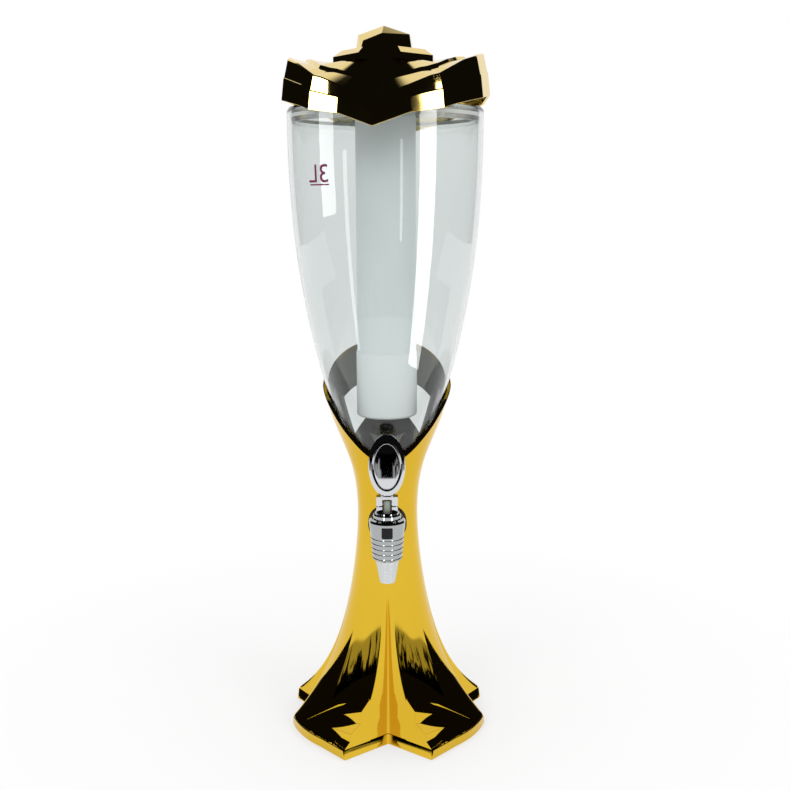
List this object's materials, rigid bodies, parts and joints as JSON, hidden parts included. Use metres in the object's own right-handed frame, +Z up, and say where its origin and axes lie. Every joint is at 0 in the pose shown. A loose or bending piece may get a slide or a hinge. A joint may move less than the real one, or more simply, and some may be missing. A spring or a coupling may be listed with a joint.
{
  "type": "beer tower dispenser",
  "caption": "Free-standing beverage tower: hourglass pedestal on pleated feet, clear vessel, hanging ice tube, faceted lift-off lid and spring-closed lever tap.",
  "frame": {"origin": "on the table under the centre of the four feet, on the tower's upright axis", "axes": "+Z up along the tower's axis, the tap faces -Y, +X to the right seen from the tap side"},
  "size_m": [0.184, 0.199, 0.642],
  "materials": {
    "gold_plate": "gold electroplated ABS, mirror bright",
    "chrome_plate": "chrome electroplated ABS, mirror bright",
    "nozzle_plate": "silver-grey moulded plastic, satin",
    "clear_plastic": "clear moulded plastic, polished",
    "frosted_plastic": "frosted white plastic",
    "liner_plastic": "natural plastic",
    "white_plastic": "white nylon",
    "grey_plastic": "grey acetal",
    "black_plastic": "black ABS",
    "rubber": "black rubber",
    "silicone": "milky silicone",
    "steel": "stainless steel"
  },
  "bodies": {
    "tower": {"pedestal": "gold_plate", "foot_plate": "black_plastic", "rubber_feet": "rubber", "base_screws": "steel", "seat_pad": "silicone", "vessel": "clear_plastic", "tap_shank": "steel", "outer_gasket": "rubber", "inner_gasket": "silicone", "lock_nut": "white_plastic", "tap_body": "chrome_plate", "tap_nozzle": "nozzle_plate", "tap_bonnet": "chrome_plate", "tap_spring": "steel"},
    "plunger": {"tap_plunger": "grey_plastic", "plunger_seal": "silicone", "lever_pin": "steel"},
    "lever": {"tap_lever": "chrome_plate", "lever_face": "chrome_plate"},
    "lid": {"lid_shell": "gold_plate", "lid_crown": "gold_plate", "lid_knob": "gold_plate", "knob_screw": "steel", "lid_liner": "liner_plastic", "lid_seal": "silicone"},
    "ice_unit": {"ice_tube": "frosted_plastic", "tube_cup": "frosted_plastic", "tube_collar": "frosted_plastic", "tube_oring": "silicone"}
  },
  "joints": [
    {"name": "plunger_lift", "type": "slide", "parent": "tower", "child": "plunger", "axis": [0, 0, 1], "range_m": [0, 0.005], "stiffness_N_per_m": 400, "springref_m": -0.005, "deforming": ["tap_spring"]},
    {"name": "lever_swing", "type": "hinge", "parent": "plunger", "child": "lever", "pos_m": [0, -0.054, 0.226], "axis": [1, 0, 0], "range_deg": [0, 45]},
    {"name": "lid_lift", "type": "slide", "parent": "tower", "child": "lid", "axis": [0, 0, 1], "range_m": [0, 0.32]},
    {"name": "ice_tube_turn", "type": "hinge", "parent": "lid", "child": "ice_unit", "pos_m": [0, 0, 0.58], "axis": [0, 0, 1], "range_deg": [0, 90]}
  ],
  "couplings": [
    {"joint": "lever_swing", "follows": "plunger_lift", "rad_per_m": 157.07}
  ]
}
